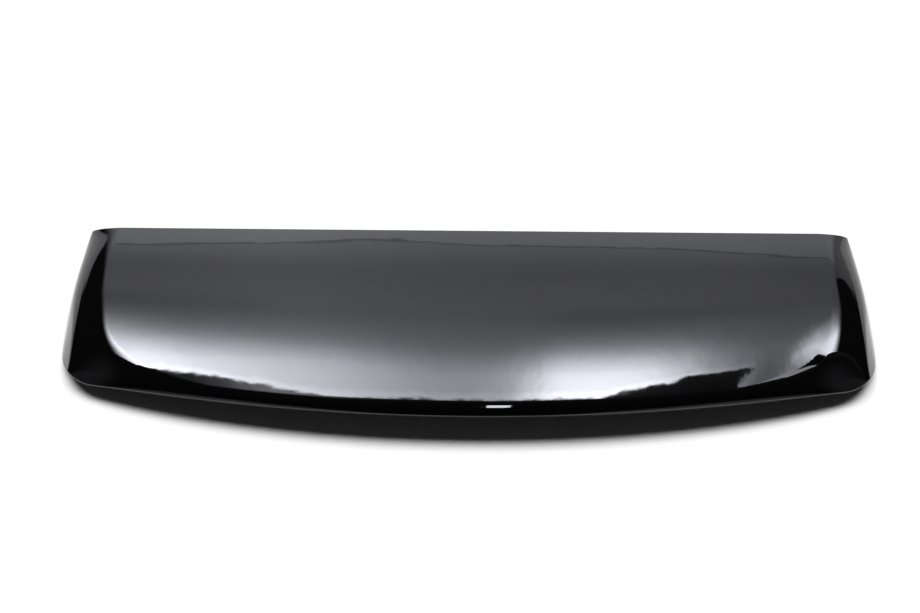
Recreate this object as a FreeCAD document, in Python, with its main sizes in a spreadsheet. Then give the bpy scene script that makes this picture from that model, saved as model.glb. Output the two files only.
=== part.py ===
import FreeCAD, Part
import math
import os

import Sketcher

# Rear roof spoiler: one moulded plastic shell of even wall, open underneath.
# Millimetres: +X to the right, +Y towards the leading edge, +Z up, standing on the rims of its flanks.
doc = FreeCAD.newDocument("roof_spoiler")
Vector = FreeCAD.Vector

# Driving sizes
SIZES = [
    ("overall_width", 1262, "widest, across the rims of the flanks"),
    ("flank_flare", 19, "bulge of each flank past the end of the leading edge"),
    ("depth", 330, "leading edge to the middle of the lip"),
    ("widest_back", 194, "leading edge to the widest place"),
    ("tail_radius", 3100, "plan radius of the trailing lip"),
    ("corner_radius", 75, "plan radius from flank to lip"),
    ("wall", 3.5, "wall of the moulding"),
    ("lead_rise", 14, "underside of the leading edge above the rims"),
    ("climb_angle", 25, "climb of the panel from the leading edge, degrees"),
    ("crest_lead", 30, "start of the bend over the crest, ahead of the leading edge"),
    ("tail_angle", 9, "fall of the panel before the lip, degrees"),
    ("roll_reach", 20, "start of the rolled lip, ahead of its edge"),
    ("roll_bend", 26, "run of the bend into the rolled lip"),
    ("roll_angle", 55, "steepest fall of the rolled lip, degrees"),
    ("panel_crown", 10, "fall of the panel from the middle to the flanks"),
    ("crown_run", 170, "run over which the crown grows"),
    ("bow_run", 220, "run over which the panel takes on the bow of the lip"),
    ("grow_lead", 20, "start of both runs, ahead of the leading edge"),
    ("shoulder_lead", 55, "width of the shoulder by the leading edge"),
    ("shoulder_width", 75, "width of the shoulder half way back"),
    ("shoulder_start", 30, "leading edge to where the shoulder widens"),
    ("shoulder_run", 150, "run over which the shoulder widens"),
    ("sweep_width", 70, "further width where the shoulder sweeps round to the lip"),
    ("sweep_ahead", 74, "place of that width, ahead of the lip"),
    ("sweep_power", 7.4, "sharpness of that sweep"),
    ("flank_power", 1.7, "roundness of the shoulder"),
    ("turn_power", 7, "roundness of the turn down to the rim"),
    ("turn_share", 0.37, "share of the height that the turn down takes"),
    ("land_width", 15, "width of the bonding land under the leading edge"),
    ("land_ends", 52, "bonding land short of each end of the leading edge"),
    ("land_inset", 2.5, "bonding land behind the leading edge"),
    ("land_depth", 0.7, "depth of the bonding land"),
    ("land_angle", 24, "slope of the bonding land, degrees"),
    ("notch_back", 79, "leading edge to the relief notch in each rim"),
    ("notch_length", 10, "length of the relief notch"),
    ("notch_height", 3, "height of the relief notch"),
]
sheet = doc.addObject("Spreadsheet::Sheet", "Sizes")
for row, (alias, value, meaning) in enumerate(SIZES, start=1):
    sheet.set(f"A{row}", meaning)
    sheet.set(f"B{row}", str(value))
    sheet.setAlias(f"B{row}", alias)
doc.recompute()


def size(alias):
    """The value of one cell of the sheet."""
    return float(sheet.get(alias))


def slope(alias):
    """The rise over run of an angle of the sheet."""
    return math.tan(math.radians(size(alias)))


# Plan outline of the flanks and the lip
half_lead = size("overall_width") / 2 - size("flank_flare")
flank_radius = (size("widest_back") ** 2 + size("flank_flare") ** 2) / (2 * size("flank_flare"))
lead_y = size("depth") / 2


def rim_x(back):
    """Half width at the rim, a distance behind the leading edge: an arc that bulges to the widest place."""
    along = back - size("widest_back")
    return size("overall_width") / 2 - flank_radius + math.sqrt(flank_radius**2 - along**2)


def lip_bow(x):
    """How far the lip lies ahead of its middle at x: the rise of its plan arc."""
    return size("tail_radius") - math.sqrt(size("tail_radius") ** 2 - x**2)


# Heights of the outer skin
def ease(share):
    """Smooth step from 0 to 1 with level ends."""
    share = min(max(share, 0.0), 1.0)
    return share * share * (3 - 2 * share)


def bend_rise(back, start, run, turn):
    """Height gained past a bend whose slope changes by turn over run, easing in and out."""
    share = (back - start) / run
    if share <= 0:
        return 0.0
    if share >= 1:
        return turn * run * (share - 0.5)
    return turn * run * (share**3 - share**4 / 2)


def panel_rise(back):
    """Height of the middle of the panel above its leading edge: climb, crest, then the rolled lip."""
    climb, fall, roll = slope("climb_angle"), slope("tail_angle"), slope("roll_angle")
    crest_bend = size("depth") + size("crest_lead")
    rise = climb * back + bend_rise(back, -size("crest_lead"), crest_bend, -climb - fall)
    return rise + bend_rise(back, size("depth") - size("roll_reach"), size("roll_bend"), fall - roll)


def shoulder(inset, back):
    """Share of the full height at a distance in from the rim: a turn up, then a rounded shoulder whose width
    grows away from the leading edge and sweeps inwards by the lip."""
    widen = ease((back - size("shoulder_start")) / size("shoulder_run"))
    sweep = max(back / (size("depth") - size("sweep_ahead")), 0.0) ** size("sweep_power")
    width = size("shoulder_lead") + (size("shoulder_width") - size("shoulder_lead")) * widen
    away = max(1 - inset / (width + size("sweep_width") * sweep), 0.0)
    turn = size("turn_share")
    return 1 - (1 - turn) * away ** size("flank_power") - turn * away ** size("turn_power")


def skin_point(x, back):
    """Point of the outer skin. Its crest and roll take on the bow of the lip; its leading edge stays level."""
    bowed = back + lip_bow(x) * ease((back + size("grow_lead")) / size("bow_run"))
    crown = size("panel_crown") * ease((back + size("grow_lead")) / size("crown_run")) * (x / half_lead) ** 2
    full = size("lead_rise") + panel_rise(bowed) - crown
    return Vector(x, lead_y - back, size("wall") + full * shoulder(rim_x(back) - abs(x), back))


# Formed skins: smooth surfaces through sections across the width, a little larger than the trimmed outline
TRIM_ALLOWANCE = 14.0
ROWS = 26
LIP_ROWS = 12
PANEL_COLUMNS = 7
SHOULDER_COLUMNS = 11
DEGREE = 3
PROBE = 0.01


def wall_point(x, back, depth):
    """Point at a depth under the outer skin, square to the skin's two tangents over a small step."""
    across = skin_point(x + PROBE, back) - skin_point(x - PROBE, back)
    along = skin_point(x, back - PROBE) - skin_point(x, back + PROBE)
    return skin_point(x, back) - across.cross(along).normalize() * depth


def half_row(share, depth):
    """Half a section, from the middle to past the right rim, with its columns gathered on the shoulder."""
    points = []
    inner = half_lead - size("shoulder_width")
    past_rim = rim_x(share_back(share, half_lead)) + TRIM_ALLOWANCE
    places = [inner * step / PANEL_COLUMNS for step in range(PANEL_COLUMNS)]
    places += [inner + (past_rim - inner) * step / SHOULDER_COLUMNS for step in range(SHOULDER_COLUMNS + 1)]
    for x in places:
        points.append(wall_point(x, share_back(share, x), depth))
    return points


def share_back(share, x):
    """Distance behind the leading edge at a share of the way from ahead of that edge to past the lip."""
    reach = size("depth") - lip_bow(min(x, half_lead))
    return share * (reach + 2 * TRIM_ALLOWANCE) - TRIM_ALLOWANCE


def row_shares():
    """Shares of the way back for the sections, gathered where the lip rolls."""
    roll = 1 - 2 * (size("roll_reach") + TRIM_ALLOWANCE) / (size("depth") + 2 * TRIM_ALLOWANCE)
    panel = [roll * row / ROWS for row in range(ROWS)]
    return panel + [roll + (1 - roll) * row / LIP_ROWS for row in range(LIP_ROWS + 1)]


def clamped_knots(count):
    """Knots and their multiplicities for a cubic row of poles that is held at both ends."""
    spans = count - DEGREE
    multiplicities = [DEGREE + 1] + [1] * (spans - 1) + [DEGREE + 1]
    return list(range(spans + 1)), multiplicities


def formed_skin(name, depth):
    """Skin at a depth under the outer one: a cubic surface whose poles are the sections' points."""
    rows = []
    for share in row_shares():
        right = half_row(share, depth)
        left = [Vector(-point.x, point.y, point.z) for point in reversed(right[1:])]
        rows.append(left + right)
    row_knots, row_multiplicities = clamped_knots(len(rows))
    column_knots, column_multiplicities = clamped_knots(len(rows[0]))
    surface = Part.BSplineSurface()
    surface.buildFromPolesMultsKnots(
        rows, row_multiplicities, column_multiplicities, row_knots, column_knots, False, False, DEGREE, DEGREE
    )
    skin = doc.addObject("Part::Feature", name)
    skin.Shape = surface.toShape()
    return skin


def filled_below(name, skin):
    """The solid under a skin, reaching well below the rims."""
    block = doc.addObject("Part::Extrusion", name)
    block.Base = skin
    block.DirMode = "Custom"
    block.Dir = Vector(0, 0, -1)
    block.setExpression("LengthFwd", "Sizes.depth")
    return block


outer_block = filled_below("outer_block", formed_skin("outer_skin", 0.0))
inner_block = filled_below("inner_block", formed_skin("inner_skin", size("wall")))


# Trimmed outline: leading edge, bulging flanks, corner rounds and the bowed lip, on the plane of the rims
def circle_meeting(first, first_radius, second, second_radius):
    """Right-hand lower meeting point of two circles, for the centre of a corner round."""
    gap = second - first
    along = (first_radius**2 - second_radius**2 + gap.Length**2) / (2 * gap.Length)
    aside = math.sqrt(first_radius**2 - along**2)
    middle = first + gap * (along / gap.Length)
    square = Vector(gap.y, -gap.x, 0) * (aside / gap.Length)
    return max(middle + square, middle - square, key=lambda point: point.x)


def plan_arc(centre, radius, start, end):
    """Arc about a centre, anticlockwise from one point to another."""
    angles = [math.atan2(point.y - centre.y, point.x - centre.x) for point in (start, end)]
    return Part.ArcOfCircle(Part.Circle(centre, Vector(0, 0, 1), radius), *angles)


def mirrored(point):
    """The same place on the left half."""
    return Vector(-point.x, point.y, 0)


outline = doc.addObject("PartDesign::Body", "trim_outline")
plan = outline.newObject("Sketcher::SketchObject", "plan")
planes = {feature.Role: feature for feature in outline.Origin.OriginFeatures}
plan.AttachmentSupport = [(planes["XY_Plane"], "")]
plan.MapMode = "FlatFace"

corner_radius, tail_radius = size("corner_radius"), size("tail_radius")
lead_end = Vector(half_lead, lead_y, 0)
flank_centre = Vector(size("overall_width") / 2 - flank_radius, lead_y - size("widest_back"), 0)
tail_centre = Vector(0, tail_radius - lead_y, 0)
corner = circle_meeting(flank_centre, flank_radius - corner_radius, tail_centre, tail_radius - corner_radius)
flank_foot = flank_centre + (corner - flank_centre).normalize() * flank_radius
lip_end = tail_centre + (corner - tail_centre).normalize() * tail_radius

LEAD, FLANK, CORNER, LIP, LEFT_CORNER, LEFT_FLANK = range(6)
START, END, CENTRE = range(1, 4)
ORIGIN, Y_AXIS = range(-1, -3, -1)
plan.addGeometry(Part.LineSegment(mirrored(lead_end), lead_end))
plan.addGeometry(plan_arc(flank_centre, flank_radius, flank_foot, lead_end))
plan.addGeometry(plan_arc(corner, corner_radius, lip_end, flank_foot))
plan.addGeometry(plan_arc(tail_centre, tail_radius, mirrored(lip_end), lip_end))
plan.addGeometry(plan_arc(mirrored(corner), corner_radius, mirrored(flank_foot), mirrored(lip_end)))
plan.addGeometry(plan_arc(mirrored(flank_centre), flank_radius, mirrored(lead_end), mirrored(flank_foot)))
for constraint in (
    ("Coincident", LEAD, END, FLANK, END),
    ("Coincident", LEAD, START, LEFT_FLANK, START),
    ("Tangent", FLANK, START, CORNER, END),
    ("Tangent", CORNER, START, LIP, END),
    ("Tangent", LIP, START, LEFT_CORNER, END),
    ("Tangent", LEFT_CORNER, START, LEFT_FLANK, END),
    ("Symmetric", LEAD, START, LEAD, END, Y_AXIS),
    ("PointOnObject", LIP, CENTRE, Y_AXIS),
    ("Equal", CORNER, LEFT_CORNER),
    ("Equal", FLANK, LEFT_FLANK),
):
    plan.addConstraint(Sketcher.Constraint(*constraint))
for name, constraint, expression in (
    ("lead_length", ("DistanceX", LEAD, START, LEAD, END, 2 * half_lead),
     "Sizes.overall_width - 2 * Sizes.flank_flare"),
    ("lead_place", ("DistanceY", ORIGIN, START, LEAD, END, lead_y), "Sizes.depth / 2"),
    ("corner_round", ("Radius", CORNER, corner_radius), "Sizes.corner_radius"),
    ("lip_round", ("Radius", LIP, tail_radius), "Sizes.tail_radius"),
    ("lip_place", ("DistanceY", ORIGIN, START, LIP, CENTRE, tail_centre.y),
     "Sizes.tail_radius - Sizes.depth / 2"),
    ("flank_round", ("Radius", FLANK, flank_radius),
     "(Sizes.widest_back ^ 2 + Sizes.flank_flare ^ 2) / (2 * Sizes.flank_flare)"),
    ("flank_place", ("DistanceY", FLANK, CENTRE, LEAD, END, size("widest_back")), "Sizes.widest_back"),
    ("left_flank_place", ("DistanceY", LEFT_FLANK, CENTRE, LEAD, START, size("widest_back")),
     "Sizes.widest_back"),
):
    plan.addConstraint(Sketcher.Constraint(*constraint))
    plan.renameConstraint(plan.ConstraintCount - 1, name)
    plan.setExpression(f"Constraints.{name}", expression)
trim = outline.newObject("PartDesign::Pad", "trim")
trim.Profile = plan
trim.setExpression("Length", "Sizes.depth")
outline.Tip = trim

# Shell: the formed block trimmed to its outline and to the plane of the rims, then hollowed from below
trimmed = doc.addObject("Part::Common", "trimmed_block")
trimmed.Base = outer_block
trimmed.Tool = outline
hollowed = doc.addObject("Part::Cut", "hollowed_block")
hollowed.Base = trimmed
hollowed.Tool = inner_block


# Flat bonding land sunk into the underside of the leading edge, and a relief notch in each flank's rim
def cutter(name, corner, lengths):
    """Box whose lowest corner and lengths are written in the sheet's sizes."""
    box = doc.addObject("Part::Box", name)
    for axis, expression in zip("xyz", corner):
        box.setExpression(f"Placement.Base.{axis}", expression)
    for side, expression in zip(("Length", "Width", "Height"), lengths):
        box.setExpression(side, expression)
    return box


land_half = "(Sizes.overall_width / 2 - Sizes.flank_flare - Sizes.land_ends)"
land_along = "(Sizes.land_inset + Sizes.land_width)"
land_down = "(Sizes.lead_rise - Sizes.land_depth)"
lead_under = "(Sizes.wall + Sizes.lead_rise - Sizes.wall / cos(Sizes.land_angle))"
land = cutter(
    "bonding_land",
    (
        f"-{land_half}",
        f"Sizes.depth / 2 - {land_along} * cos(Sizes.land_angle) - {land_down} * sin(Sizes.land_angle)",
        f"{lead_under} + {land_along} * sin(Sizes.land_angle) - {land_down} * cos(Sizes.land_angle)",
    ),
    (f"2 * {land_half}", "Sizes.land_width", "Sizes.lead_rise"),
)
land.Placement.Rotation = FreeCAD.Rotation(Vector(-1, 0, 0), size("land_angle"))
land.setExpression("Placement.Rotation.Angle", "Sizes.land_angle")
notch_y = "Sizes.depth / 2 - Sizes.notch_back - Sizes.notch_length"
notch_size = ("Sizes.shoulder_width", "Sizes.notch_length", "Sizes.notch_height")
notches = [
    cutter("right_notch", ("Sizes.overall_width / 2 - Sizes.shoulder_width", notch_y, "0"), notch_size),
    cutter("left_notch", ("-Sizes.overall_width / 2", notch_y, "0"), notch_size),
]
tools = doc.addObject("Part::MultiFuse", "rim_cuts")
tools.Shapes = [land] + notches
spoiler = doc.addObject("Part::Cut", "spoiler_shell")
spoiler.Base = hollowed
spoiler.Tool = tools
spoiler.Label = "spoiler_shell"
doc.recompute()

# Checks, then the export of the one moulding
for item in doc.Objects:
    if "Invalid" in item.State or "Error" in item.State:
        raise RuntimeError(f"{item.Name} failed: {item.State}")
shape = spoiler.Shape
if shape.isNull() or not shape.isValid() or len(shape.Solids) != 1:
    raise RuntimeError("the shell is not one valid solid")
os.makedirs("parts", exist_ok=True)
shape.exportStep(f"parts/{spoiler.Label}.step")
print(f"{spoiler.Label}: {shape.Volume / 1000:.0f} cm3")
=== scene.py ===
import math

import bpy
import numpy as np
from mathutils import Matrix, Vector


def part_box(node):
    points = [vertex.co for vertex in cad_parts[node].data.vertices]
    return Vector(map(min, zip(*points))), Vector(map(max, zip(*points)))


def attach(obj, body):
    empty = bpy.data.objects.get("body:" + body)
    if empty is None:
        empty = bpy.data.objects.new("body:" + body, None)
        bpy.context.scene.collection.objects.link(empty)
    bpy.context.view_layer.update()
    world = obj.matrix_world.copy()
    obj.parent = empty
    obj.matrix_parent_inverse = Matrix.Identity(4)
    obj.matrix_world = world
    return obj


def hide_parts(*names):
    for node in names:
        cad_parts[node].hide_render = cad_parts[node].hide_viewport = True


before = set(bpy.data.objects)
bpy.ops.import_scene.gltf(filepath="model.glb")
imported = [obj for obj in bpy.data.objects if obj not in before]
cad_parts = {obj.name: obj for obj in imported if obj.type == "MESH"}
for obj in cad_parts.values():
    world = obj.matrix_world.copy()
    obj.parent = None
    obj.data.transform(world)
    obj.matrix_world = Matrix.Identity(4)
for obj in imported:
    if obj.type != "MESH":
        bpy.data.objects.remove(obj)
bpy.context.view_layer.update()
scene = bpy.context.scene

# Spoiler shell: one plastic moulding of even 3.5 mm wall, open underneath and polished gloss black outside.
# Its panel climbs from the leading edge, which is bonded to the roof, over a crest and rolls down to the lip.
# The mould leaves the inside plain and dull, with a shallow bonding land and a notch in each flank's rim.
shell_low, shell_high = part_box("spoiler_shell")
half_width = shell_high.x
lead_y = shell_high.y
depth = shell_high.y - shell_low.y
flank_flare = 0.019
widest_back = 0.194
flank_radius = (widest_back**2 + flank_flare**2) / (2 * flank_flare)
tail_radius = 3.1
corner_radius = 0.075
wall = 0.0035
edge_round = 0.0008


def ease(share):
    """Smooth step from 0 to 1 with level ends: 3 s squared less 2 s cubed."""
    share = np.clip(share, 0, 1)
    return share * share * (3 - 2 * share)


def bend_rise(back, start, run, turn):
    """Height gained past a bend whose slope changes by turn over run, easing in and out."""
    share = np.clip((back - start) / run, 0, None)
    inside = share**3 - share**4 / 2
    return turn * run * np.where(share < 1, inside, share - 0.5)


def skin_height(x, y):
    """Height of the outer skin: a climb that eases over a crest to a gentle fall, then a short roll to the
    lip, less a crown, times the flank's shoulder, whose crease sweeps inwards towards the lip."""
    back = lead_y - y
    climb, fall, roll = np.tan(np.radians([25, 9, 55]))
    lead_rise = 0.014
    crest_lead, crest_run = 0.030, 0.360
    roll_reach, roll_run = 0.020, 0.026
    grow_lead, bow_run = 0.02, 0.220
    bow = tail_radius - np.sqrt(tail_radius**2 - x**2)
    bowed = back + bow * ease((back + grow_lead) / bow_run)
    rise = climb * bowed + bend_rise(bowed, -crest_lead, crest_run, -climb - fall)
    rise += bend_rise(bowed, depth - roll_reach, roll_run, fall - roll)
    crown_fall, crown_run = 0.010, 0.170
    crown = crown_fall * ease((back + grow_lead) / crown_run) * (x / (half_width - flank_flare)) ** 2
    rim = half_width - flank_radius + np.sqrt(flank_radius**2 - (back - widest_back) ** 2)
    shoulder_lead, shoulder_gain = 0.055, 0.020
    shoulder_start, shoulder_run = 0.03, 0.150
    sweep_width, sweep_back, sweep_power = 0.070, 0.256, 7.4
    width = shoulder_lead + shoulder_gain * ease((back - shoulder_start) / shoulder_run)
    width = width + sweep_width * (np.clip(back, 0, None) / sweep_back) ** sweep_power
    away = 1 - np.clip((rim - abs(x)) / width, -0.1, 1)
    turn_share, turn_power, flank_power = 0.37, 7, 1.7
    shoulder = 1 - (1 - turn_share) * away**flank_power - turn_share * away**turn_power
    return wall + (lead_rise + rise - crown) * shoulder


def skin_normal(x, y):
    """Unit normal of the outer skin, from its slopes over a small step each way."""
    step = 1e-5
    slope_x = (skin_height(x + step, y) - skin_height(x - step, y)) / (2 * step)
    slope_y = (skin_height(x, y + step) - skin_height(x, y - step)) / (2 * step)
    normal = np.stack([-slope_x, -slope_y, np.ones_like(slope_x)], axis=-1)
    return normal / np.linalg.norm(normal, axis=-1, keepdims=True)


def inner_height(x, y):
    """Height of the underside: the skin less the wall square to it, cut level with the rims, with the bonding
    land sunk behind the leading edge and a notch in each rim, both with steep sides of a short run."""
    back = lead_y - y
    side_run = 0.0003
    land_back, land_reach, land_ends, land_depth = 0.0091, 0.0069, 0.052, 0.00077
    notch_back, notch_reach, notch_inset, notch_height = 0.084, 0.005, 0.070, 0.003
    height = np.clip(skin_height(x, y) - wall / skin_normal(x, y)[..., 2], 0, None)
    land = np.minimum(land_reach - abs(back - land_back), half_width - flank_flare - land_ends - abs(x))
    height = height + land_depth * np.clip(land / side_run + 0.5, 0, 1)
    notch = np.minimum(notch_reach - abs(back - notch_back), abs(x) - half_width + notch_inset)
    return np.maximum(height, notch_height * np.clip(notch / side_run + 0.5, 0, 1))


edge_points = 600


def arc(centre, radius, start, end):
    """Points along a circular arc, evenly spaced from one angle to another."""
    angle = np.linspace(start, end, edge_points)
    return centre + radius * np.stack([np.cos(angle), np.sin(angle)], axis=1)


def along(points, shares):
    """Points at shares of the length of a polyline."""
    length = np.append(0, np.cumsum(np.hypot(*np.diff(points, axis=0).T)))
    return np.stack([np.interp(shares * length[-1], length, points[:, axis]) for axis in (0, 1)], axis=1)


flank_centre = np.array([half_width - flank_radius, lead_y - widest_back])
tail_centre = np.array([0, tail_radius - depth + lead_y])
gap = tail_centre - flank_centre
span = np.hypot(*gap)
reach = ((flank_radius - corner_radius) ** 2 - (tail_radius - corner_radius) ** 2 + span**2) / (2 * span)
aside = math.sqrt((flank_radius - corner_radius) ** 2 - reach**2)
corner_centre = flank_centre + gap * reach / span + np.array([gap[1], -gap[0]]) * aside / span
flank_angle = math.atan2(*(corner_centre - flank_centre)[::-1])
tail_angle = math.atan2(*(corner_centre - tail_centre)[::-1])
middle_angle = (flank_angle + tail_angle) / 2

# Columns gather on the shoulders, and rows on the bends, the land, the notch and the rolled lip.
columns = np.concatenate([
    np.linspace(0, 0.075, 46),
    np.linspace(0.075, 0.925, 172)[1:-1],
    np.linspace(0.925, 1, 46),
])
rows = np.concatenate([
    np.linspace(0, 0.32, 62),
    np.linspace(0.32, 0.80, 36)[1:],
    np.linspace(0.80, 1, 46)[1:],
])


def edges(inset):
    """The four edges of the trimmed outline, drawn in by an inset: leading edge, lip, left and right flank.
    The flanks end, and the lip begins, half way round the corners."""
    top = lead_y - inset
    flank = flank_radius - inset
    lead_angle = math.asin((top - flank_centre[1]) / flank)
    right = np.concatenate([
        arc(flank_centre, flank, lead_angle, flank_angle),
        arc(corner_centre, corner_radius - inset, flank_angle, middle_angle)[1:],
    ])
    half_lip = np.concatenate([
        arc(corner_centre, corner_radius - inset, middle_angle, tail_angle),
        arc(tail_centre, tail_radius - inset, tail_angle, -math.pi / 2)[1:],
    ])
    lip = np.concatenate([half_lip * (-1, 1), half_lip[-2::-1]])
    lead_x = np.linspace(-right[0, 0], right[0, 0], edge_points)
    lead = np.stack([lead_x, np.full(edge_points, top)], axis=1)
    flank_points = along(right, rows)
    return along(lead, columns), along(lip, columns), flank_points * (-1, 1), flank_points


def plan_grid(inset):
    """Coons patch between the four edges: the two ruled surfaces less the corners' bilinear one."""
    lead, lip, left, right = edges(inset)
    u = columns[None, :, None]
    v = rows[:, None, None]
    ruled = (1 - v) * lead[None] + v * lip[None] + (1 - u) * left[:, None] + u * right[:, None]
    corners = (1 - v) * ((1 - u) * lead[0] + u * lead[-1]) + v * ((1 - u) * lip[0] + u * lip[-1])
    return ruled - corners


def plan_loop(inset):
    """The outline as one closed loop, clockwise from above, from the left end of the leading edge."""
    lead, lip, left, right = edges(inset)
    return np.concatenate([lead[:-1], right[:-1], lip[:0:-1], left[:0:-1]])


grid = plan_grid(edge_round)
grid_x, grid_y = grid[..., 0], grid[..., 1]
outer = np.dstack([grid, skin_height(grid_x, grid_y)])
inner = np.dstack([grid, inner_height(grid_x, grid_y)])
row_count, column_count = grid_x.shape

# Trimmed edge: loops that round over from the skin, drop square to the floor and round under to the inside.
rim = plan_loop(edge_round)
level = skin_normal(rim[:, 0], rim[:, 1])[:, 2]
turn = np.radians([30, 60, 90])
strips = []
for angle in turn:
    loop = plan_loop(edge_round * (1 - math.sin(angle)))
    height = skin_height(loop[:, 0], loop[:, 1]) - edge_round * (1 - math.cos(angle)) * level
    strips.append(np.column_stack([loop, height]))
for angle in turn[::-1]:
    loop = plan_loop(edge_round * (1 - math.sin(angle)))
    height = inner_height(rim[:, 0], rim[:, 1]) + edge_round * (1 - math.cos(angle)) * level
    strips.append(np.column_stack([loop, height]))

index = np.arange(row_count * column_count).reshape(row_count, column_count)
quads = np.stack([index[:-1, :-1], index[1:, :-1], index[1:, 1:], index[:-1, 1:]], axis=-1).reshape(-1, 4)
sheet_size = index.size
rim_index = np.concatenate([index[0, :-1], index[:-1, -1], index[-1, :0:-1], index[:0:-1, 0]])
loops = [rim_index]
loops += [2 * sheet_size + len(rim) * step + np.arange(len(rim)) for step in range(len(strips))]
loops.append(rim_index + sheet_size)
ring = np.stack(loops)
following = np.roll(ring, -1, axis=1)
band = np.stack([ring[:-1], following[:-1], following[1:], ring[1:]], axis=-1).reshape(-1, 4)
faces = np.concatenate([quads, quads[:, ::-1] + sheet_size, band])
points = np.concatenate([outer.reshape(-1, 3), inner.reshape(-1, 3)] + strips)

mesh = bpy.data.meshes.new("spoiler_shell_visual")
mesh.vertices.add(len(points))
mesh.vertices.foreach_set("co", points.ravel())
mesh.loops.add(faces.size)
mesh.loops.foreach_set("vertex_index", faces.ravel())
mesh.polygons.add(len(faces))
mesh.polygons.foreach_set("loop_start", np.arange(0, faces.size, 4))
mesh.polygons.foreach_set("use_smooth", np.ones(len(faces), bool))
mesh.update(calc_edges=True)
mesh.validate()
normals = np.zeros_like(points)
normals[:sheet_size] = skin_normal(grid_x, grid_y).reshape(-1, 3)
mesh.normals_split_custom_set_from_vertices(normals)
underside = np.zeros(len(points), np.float32)
underside[sheet_size : 2 * sheet_size] = 1
underside[2 * sheet_size + 3 * len(rim) :] = 1
mesh.attributes.new("underside", "FLOAT", "POINT").data.foreach_set("value", underside)
shell = bpy.data.objects.new("spoiler_shell_visual", mesh)
scene.collection.objects.link(shell)

# Gloss black: faint long waves of the moulding, fine orange peel, a thin haze and specks of dust.
# The inside is dull.
skin_look = bpy.data.node_groups.new("moulded_gloss", "ShaderNodeTree")
for name, kind in (
    ("Color", "NodeSocketColor"),
    ("Roughness", "NodeSocketFloat"),
    ("Normal", "NodeSocketVector"),
):
    skin_look.interface.new_socket(name, in_out="OUTPUT", socket_type=kind)
nodes, links = skin_look.nodes, skin_look.links
place = nodes.new("ShaderNodeTexCoord").outputs["Object"]
inside = nodes.new("ShaderNodeAttribute")
inside.attribute_name = "underside"


def noise_node(scale, detail):
    """Noise over the piece, in patches of about one over scale metres."""
    node = nodes.new("ShaderNodeTexNoise")
    node.inputs["Scale"].default_value = scale
    node.inputs["Detail"].default_value = detail
    links.new(place, node.inputs["Vector"])
    return node.outputs["Fac"]


def span_node(value, low, high, start, end, smooth=True):
    """A value carried from one range to another, with level or straight ends."""
    node = nodes.new("ShaderNodeMapRange")
    node.interpolation_type = "SMOOTHSTEP" if smooth else "LINEAR"
    links.new(value, node.inputs["Value"])
    for socket, number in zip(("From Min", "From Max", "To Min", "To Max"), (low, high, start, end)):
        node.inputs[socket].default_value = number
    return node.outputs["Result"]


def mix_node(kind, share, first, second):
    """A mix of two values or colours, each a socket or a number."""
    node = nodes.new("ShaderNodeMix")
    node.data_type = kind
    pair = [socket for socket in node.inputs if socket.enabled and socket.name in ("A", "B")]
    for socket, value in zip([node.inputs[0]] + pair, (share, first, second)):
        if isinstance(value, bpy.types.NodeSocket):
            links.new(value, socket)
        else:
            socket.default_value = value
    return next(socket for socket in node.outputs if socket.enabled)


def bump_node(height, distance, before=None):
    """Bumps of a height in metres, on top of earlier ones."""
    node = nodes.new("ShaderNodeBump")
    node.inputs["Distance"].default_value = distance
    links.new(height, node.inputs["Height"])
    if before is not None:
        links.new(before, node.inputs["Normal"])
    return node.outputs["Normal"]


coat_black = (0.0022, 0.0022, 0.0024, 1)
dust_grey = (0.010, 0.010, 0.010, 1)
inside_black = (0.014, 0.014, 0.0145, 1)
dust_roughness = 0.09
wave_height = 0.00022
peel_height = 0.000003
dust = span_node(noise_node(900, 1), 0.72, 0.80, 0, 1, False)
haze = span_node(noise_node(11, 4), 0.35, 0.70, 0.012, 0.035, False)
dull = span_node(noise_node(60, 3), 0.3, 0.7, 0.42, 0.55, False)
colour = mix_node("RGBA", dust, coat_black, dust_grey)
colour = mix_node("RGBA", inside.outputs["Fac"], colour, inside_black)
roughness = mix_node("FLOAT", dust, haze, dust_roughness)
roughness = mix_node("FLOAT", inside.outputs["Fac"], roughness, dull)
waves = bump_node(noise_node(13, 3), wave_height)
peel = bump_node(noise_node(380, 1), peel_height, waves)
look = nodes.new("NodeGroupOutput")
links.new(colour, look.inputs["Color"])
links.new(roughness, look.inputs["Roughness"])
links.new(peel, look.inputs["Normal"])

gloss = bpy.data.materials.new("gloss_black")
gloss.use_nodes = True
surface = gloss.node_tree.nodes["Principled BSDF"]
surface.inputs["IOR"].default_value = 1.5
skin_node = gloss.node_tree.nodes.new("ShaderNodeGroup")
skin_node.node_tree = skin_look
for name, socket in (("Color", "Base Color"), ("Roughness", "Roughness"), ("Normal", "Normal")):
    gloss.node_tree.links.new(skin_node.outputs[name], surface.inputs[socket])
mesh.materials.append(gloss)

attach(shell, "root")
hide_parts("spoiler_shell")

# Studio floor: a plain white sheet that the spoiler stands on. Beside the two corners of the lip it glows for
# reflected rays alone, a painted reflection that stands in for a fill light low on each side; there is no
# such lamp.
bpy.ops.mesh.primitive_plane_add(size=12, location=(0, 0, 0))
floor = bpy.context.object
floor.name = "studio_floor"
paper = bpy.data.materials.new("studio_paper")
paper.use_nodes = True
nodes, links = paper.node_tree.nodes, paper.node_tree.links
sheet = nodes["Principled BSDF"]
sheet.inputs["Base Color"].default_value = (0.95, 0.95, 0.95, 1)
sheet.inputs["Roughness"].default_value = 1.0
sheet.inputs["Specular IOR Level"].default_value = 0.0
sheet.inputs["Emission Color"].default_value = (1, 1, 1, 1)


def math_node(operation, first, second=None):
    """A maths node whose inputs are sockets or numbers, and whose output is returned."""
    node = nodes.new("ShaderNodeMath")
    node.operation = operation
    for socket, value in zip(node.inputs, (first, second)):
        if isinstance(value, bpy.types.NodeSocket):
            links.new(value, socket)
        elif value is not None:
            socket.default_value = value
    return node.outputs[0]


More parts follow.
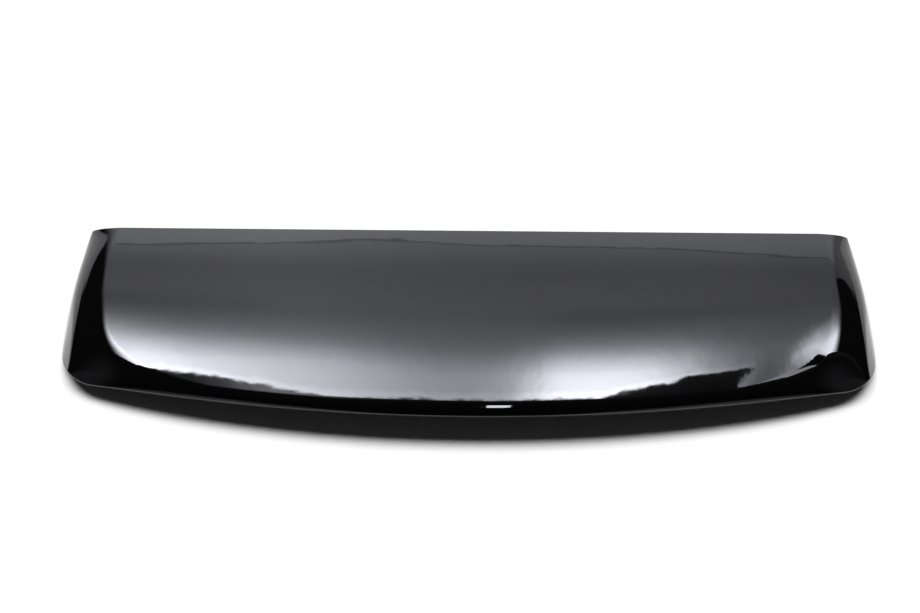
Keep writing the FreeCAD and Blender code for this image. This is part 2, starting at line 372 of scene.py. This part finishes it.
spot = nodes.new("ShaderNodeSeparateXYZ")
links.new(nodes.new("ShaderNodeTexCoord").outputs["Object"], spot.inputs[0])
path = nodes.new("ShaderNodeLightPath")
# Painted reflection: the floor glows beside the lip's corners, for glossy rays only, instead of a side lamp.
painted_fill_strength = 1.6
painted_fill_glow = span_node(math_node("ABSOLUTE", spot.outputs["X"]), 0.60, 0.72, 0, painted_fill_strength)
painted_fill_glow = math_node("MULTIPLY", painted_fill_glow, span_node(spot.outputs["Y"], 0.01, 0.07, 1, 0))
seen = math_node("LESS_THAN", path.outputs["Diffuse Depth"], 0.5)
seen = math_node("MULTIPLY", path.outputs["Is Glossy Ray"], seen)
links.new(math_node("MULTIPLY", painted_fill_glow, seen), sheet.inputs["Emission Strength"])
floor.data.materials.append(paper)

# Studio light: a row of three broad lamps high behind the spoiler.
# They throw its shadow forward under the lip.
lamp_tilt = math.radians(-29.5)
lamp_breadth = math.radians(20)
for swing, energy in ((-24, 1.25), (0, 1.6), (24, 1.25)):
    lamp = bpy.data.lights.new("studio_lamp", "SUN")
    lamp.energy = energy
    lamp.angle = lamp_breadth
    lamp_object = bpy.data.objects.new("studio_lamp", lamp)
    lamp_object.rotation_euler = (lamp_tilt, math.radians(swing), 0)
    lamp_object.visible_glossy = False
    scene.collection.objects.link(lamp_object)

# Studio surround: white to the camera, dim to the floor, and to the gloss a room with a softbox overhead.
# Pitch is measured in degrees up from straight ahead, over the top, and yaw to the right.
world = bpy.data.worlds.new("studio_surround")
scene.world = world
world.use_nodes = True
nodes, links = world.node_tree.nodes, world.node_tree.links
nodes.clear()
direction = nodes.new("ShaderNodeSeparateXYZ")
links.new(nodes.new("ShaderNodeTexCoord").outputs["Generated"], direction.inputs[0])
dx, dy, dz = direction.outputs
pitch = math_node("DEGREES", math_node("ARCTAN2", dz, dy))
yaw = math_node("DEGREES", math_node("ARCSINE", dx))


def curve_node(value, points, handles="AUTO"):
    """A curve through points of a value, smooth or straight between them; its outputs are shares of 1."""
    low, high = points[0][0], points[-1][0]
    node = nodes.new("ShaderNodeFloatCurve")
    links.new(span_node(value, low, high, 0, 1, False), node.inputs["Value"])
    curve = node.mapping.curves[0]
    for place, level in points[1:-1]:
        curve.points.new((place - low) / (high - low), level)
    curve.points[0].location = (0, points[0][1])
    curve.points[-1].location = (1, points[-1][1])
    for point in curve.points:
        point.handle_type = handles
    node.mapping.update()
    return node.outputs[0]


# A white backdrop that brightens overhead, with a paler foot below a thin uneven line.
wobble = nodes.new("ShaderNodeTexNoise")
wobble.inputs["Scale"].default_value = 7.0
wobble.inputs["Detail"].default_value = 3.0
links.new(nodes.new("ShaderNodeTexCoord").outputs["Generated"], wobble.inputs["Vector"])
horizon = math_node("SUBTRACT", pitch, span_node(yaw, -2, 20, 0, 5))
horizon = math_node("ADD", horizon, span_node(wobble.outputs["Fac"], 0.3, 0.7, -1.5, 1.5, False))
backdrop_points = ((0, 0.29), (17, 0.28), (28, 0.24), (40, 0.27), (56, 0.33), (66, 0.40), (100, 0.40))
backdrop = curve_node(pitch, backdrop_points)
backdrop = math_node("ADD", backdrop, span_node(horizon, 15.2, 16.2, 0.065, 0))
line_pitch = 15.7
line = span_node(math_node("ABSOLUTE", math_node("SUBTRACT", horizon, line_pitch)), 0.1, 0.6, 0.62, 1)
backdrop = math_node("MULTIPLY", backdrop, line)
tint = curve_node(yaw, ((-30, 0.75), (-16, 0.79), (-11, 0.90), (-8, 0.98), (-5, 0.93), (0, 0.83), (10, 0.75),
                        (18, 0.60), (30, 0.60)))
backdrop_strength = 6.1
room = math_node("MULTIPLY", math_node("MULTIPLY", backdrop, tint), backdrop_strength)

# A softbox overhead with bright lobes at its left end, right of its middle and at its right end. It reaches
# lower left of the middle and at the right end, and its near edge is uneven.
lowered = curve_node(yaw, ((-40, 0), (-18, 0.1), (-13, 0.45), (-9, 0.6), (-5, 0.45), (0, 0.1), (17.5, 0),
                           (21, 1), (40, 1)))
most_lowered = 4.5
lowered = math_node("ADD", pitch, math_node("MULTIPLY", lowered, most_lowered))
softbox = curve_node(lowered, ((50, 0), (63, 0), (67.5, 0.04), (70.5, 0.10), (73.5, 0.22), (76.5, 0.43),
                               (79.5, 0.68), (82.5, 0.92), (86, 1.0), (100, 1.0)))
lobes = curve_node(yaw, ((-40, 0.80), (-21, 0.88), (-16, 0.67), (-12, 0.48), (-8, 0.34), (-4, 0.22),
                         (0, 0.17), (4, 0.44), (8, 0.80), (12, 0.58), (15.5, 0.17), (18, 0.08), (19, 0.19),
                         (20.3, 0.50), (26, 0.53), (40, 0.64)))
lean = math_node("MULTIPLY", span_node(pitch, 80, 88, -0.9, 0.7, False), span_node(yaw, 12, 15, 0, 1))
leaning = math_node("ADD", yaw, lean)
near_edge = curve_node(leaning, ((-40, 0.76), (-28, 0.90), (-23, 0.58), (-18.8, 0.185), (-15.2, 0.205),
                                 (-13.5, 0.245), (-8, 0.33), (8.4, 0.312), (11.9, 0.205), (12.4, 0.22),
                                 (13.3, 0.14), (16.5, 0.075), (16.9, 0.27), (20.2, 0.54), (26.7, 1.0),
                                 (35.7, 1.0), (37.2, 0.62), (40, 0.60)), "VECTOR")
edge_lowest, edge_reach = 80.0, 20.0
edge_pitch = math_node("ADD", math_node("MULTIPLY", near_edge, edge_reach), edge_lowest)
past_edge = math_node("SUBTRACT", pitch, edge_pitch)
softbox_strength = 27.5
softbox = math_node("MULTIPLY", math_node("MULTIPLY", softbox, lobes), softbox_strength)
arm_slope, arm_pitch = 0.85, 66.7
above_arm = math_node("SUBTRACT", pitch, math_node("MULTIPLY", yaw, arm_slope))
above_arm = math_node("SUBTRACT", above_arm, arm_pitch)
shade = span_node(above_arm, -6.5, -0.5, 0, 0.78, False)
shade = math_node("MULTIPLY", shade, span_node(yaw, 16.5, 18, 0, 1))
softbox = math_node("MULTIPLY", softbox, math_node("SUBTRACT", 1, shade))
room = math_node("ADD", room, softbox)
room = math_node("MULTIPLY", room, span_node(past_edge, -1.6, -0.4, 1, 1.2))
room = math_node("MULTIPLY", room, span_node(past_edge, -0.3, 0.3, 1, 0))

# A dark arm across the softbox's right end, dark side walls that stand further out higher up, and their
# pale feet.
arm_start = 23.0
arm = span_node(math_node("ABSOLUTE", above_arm), 3.6, 4.4, 0, 1)
arm = math_node("MAXIMUM", arm, math_node("LESS_THAN", yaw, arm_start))
room = math_node("MULTIPLY", room, arm)
left = math_node("ADD", yaw, span_node(pitch, 30, 55, 0, 6))
right = math_node("SUBTRACT", yaw, span_node(pitch, 36, 58, 0, 12))
walls = math_node("MULTIPLY", span_node(left, -31, -17, 0, 1), span_node(right, 26, 35, 1, 0))
room = math_node("MULTIPLY", room, walls)
foot_top = curve_node(yaw, ((-70, 0.27), (-20, 0.07), (0, 0.07), (1, 0.86), (20, 0.86), (70, 0.16)), "VECTOR")
highest_foot = 50.0
foot_pitch = math_node("MULTIPLY", foot_top, highest_foot)
feet = span_node(math_node("SUBTRACT", pitch, foot_pitch), -1.5, 1.5, 1, 0)
feet = math_node("MULTIPLY", feet, span_node(yaw, -10, 10, 0.95, 0.58))
feet = math_node("MULTIPLY", feet, span_node(math_node("ABSOLUTE", yaw), 22, 28, 0, 1))
room = math_node("MAXIMUM", room, math_node("MULTIPLY", feet, span_node(dy, 0.42, 0.58, 0, 1)))

# On the lip's side, a dim band low down, dim panels at the sides, a glow past the softbox's edge on the left,
# and a small strip lamp.
low_band = math_node("MULTIPLY", span_node(dz, 0.0, 0.15, 0.6, 0), span_node(dy, -0.2, 0.0, 1, 0))
room = math_node("MAXIMUM", room, low_band)
panels = span_node(math_node("ABSOLUTE", yaw), 36, 46, 0, 0.14)
panels = math_node("MULTIPLY", panels, span_node(pitch, 98, 116, 0, 1))
room = math_node("MAXIMUM", room, panels)
glow = curve_node(yaw, ((-40, 0), (-20, 0), (-18, 0.06), (-16.5, 0.08), (-15, 0.24), (-13, 0.60), (-12, 0.80),
                        (-10, 0.75), (-8.5, 0.60), (-7, 0.15), (-5, 0.02), (40, 0.02)), "VECTOR")
glow = math_node("MULTIPLY", glow, span_node(past_edge, 0, 7, 4.0, 0))
glow = math_node("MULTIPLY", glow, span_node(past_edge, -0.3, 0.3, 0, 1))
strip_yaw, strip_pitch, strip_strength = 2.3, 118, 18.0
strip_half_width, strip_half_height = 0.9, 9.0
across = math_node("ABSOLUTE", math_node("SUBTRACT", yaw, strip_yaw))
upward = math_node("ABSOLUTE", math_node("SUBTRACT", pitch, strip_pitch))
strip = math_node("LESS_THAN", across, strip_half_width)
strip = math_node("MULTIPLY", strip, math_node("LESS_THAN", upward, strip_half_height))
room = math_node("ADD", math_node("ADD", room, glow), math_node("MULTIPLY", strip, strip_strength))

white, reflected, ambient = (nodes.new("ShaderNodeBackground") for _ in range(3))
white.inputs["Color"].default_value = (1, 1, 1, 1)
ambient.inputs["Strength"].default_value = 0.02
ambient.inputs["Color"].default_value = (1, 1, 1, 1)
links.new(room, reflected.inputs["Strength"])
reflected.inputs["Color"].default_value = (0.95, 0.96, 1.055, 1)
path = nodes.new("ShaderNodeLightPath")
glossy_mix, camera_mix = nodes.new("ShaderNodeMixShader"), nodes.new("ShaderNodeMixShader")
links.new(path.outputs["Is Glossy Ray"], glossy_mix.inputs[0])
links.new(ambient.outputs[0], glossy_mix.inputs[1])
links.new(reflected.outputs[0], glossy_mix.inputs[2])
links.new(path.outputs["Is Camera Ray"], camera_mix.inputs[0])
links.new(glossy_mix.outputs[0], camera_mix.inputs[1])
links.new(white.outputs[0], camera_mix.inputs[2])
output = nodes.new("ShaderNodeOutputWorld")
links.new(camera_mix.outputs[0], output.inputs["Surface"])

# Camera: 50 mm lens, looking down 65 degrees on the lip side.
camera = bpy.data.cameras.new("camera")
camera.lens = 50
camera.sensor_width = 36
camera_object = bpy.data.objects.new("camera", camera)
camera_object.location = (-0.0054, -0.819, 1.831)
camera_object.rotation_euler = (math.radians(25.08), 0, math.radians(0.57))
scene.collection.objects.link(camera_object)
scene.camera = camera_object

scene.view_settings.view_transform = "Standard"
